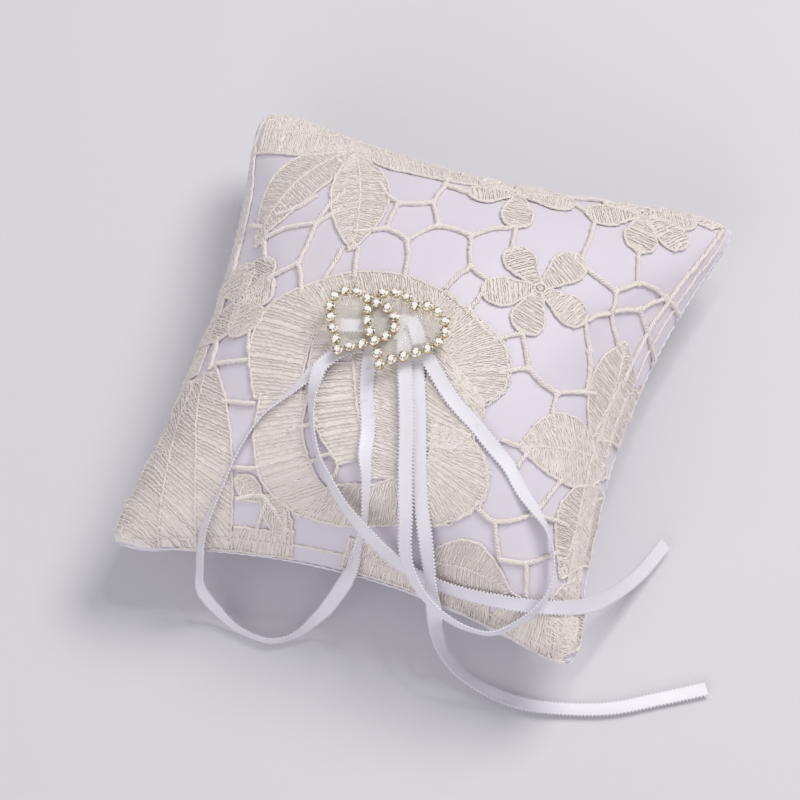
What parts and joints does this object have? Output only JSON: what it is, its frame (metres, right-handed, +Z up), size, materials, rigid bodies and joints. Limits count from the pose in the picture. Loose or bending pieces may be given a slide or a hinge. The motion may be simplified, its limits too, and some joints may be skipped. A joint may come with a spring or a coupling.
{
  "type": "ring bearer pillow",
  "caption": "Small square satin cushion with a lace overlay, a stone-set double heart ornament and narrow ribbon loops and tails for tying wedding rings.",
  "frame": {"origin": "under the middle of the cushion, on the surface that it rests on; the ribbons don't count", "axes": "+Z up from the resting face, the shortest extent of the cushion; +X to the right and +Y to the back when the ribbons fall towards the viewer"},
  "size_m": [0.1255, 0.1127, 0.0498],
  "materials": {
    "satin": "white satin with a faint lilac cast, soft sheen along the weave",
    "lace": "ivory cotton guipure lace, matt satin-stitched threads",
    "filling": "loose white polyester fibre",
    "thread": "white spun sewing thread",
    "ribbon": "white satin ribbon with fine cross ribs and picot edges",
    "gold": "polished pale gold plate",
    "stone": "clear cut glass, foil backed",
    "glue": "clear set glue, glossy"
  },
  "bodies": {
    "root": {"fibre_filling": "filling", "satin_top_panel": "satin", "satin_bottom_panel": "satin", "lace_overlay": "lace", "seam_thread": "thread", "double_heart_casting": "gold", "clear_glue_left": "glue", "clear_glue_right": "glue", "ribbon_fold_left": "ribbon", "ribbon_fold_right": "ribbon", "ribbon_loop_left": "ribbon", "ribbon_loop_right": "ribbon", "ribbon_tail_upper": "ribbon", "ribbon_tail_lower": "ribbon", "stone_left_01": "stone", "stone_left_02": "stone", "stone_left_03": "stone", "stone_left_04": "stone", "stone_left_05": "stone", "stone_left_06": "stone", "stone_left_07": "stone", "stone_left_08": "stone", "stone_left_09": "stone", "stone_left_10": "stone", "stone_left_11": "stone", "stone_left_12": "stone", "stone_left_13": "stone", "stone_left_14": "stone", "stone_left_15": "stone", "stone_left_16": "stone", "stone_left_17": "stone", "stone_right_01": "stone", "stone_right_02": "stone", "stone_right_03": "stone", "stone_right_04": "stone", "stone_right_05": "stone", "stone_right_06": "stone", "stone_right_07": "stone", "stone_right_08": "stone", "stone_right_09": "stone", "stone_right_10": "stone", "stone_right_11": "stone", "stone_right_12": "stone", "stone_right_13": "stone", "stone_right_14": "stone", "stone_right_15": "stone", "stone_right_16": "stone", "stone_right_17": "stone", "stone_right_18": "stone"}
  },
  "joints": []
}
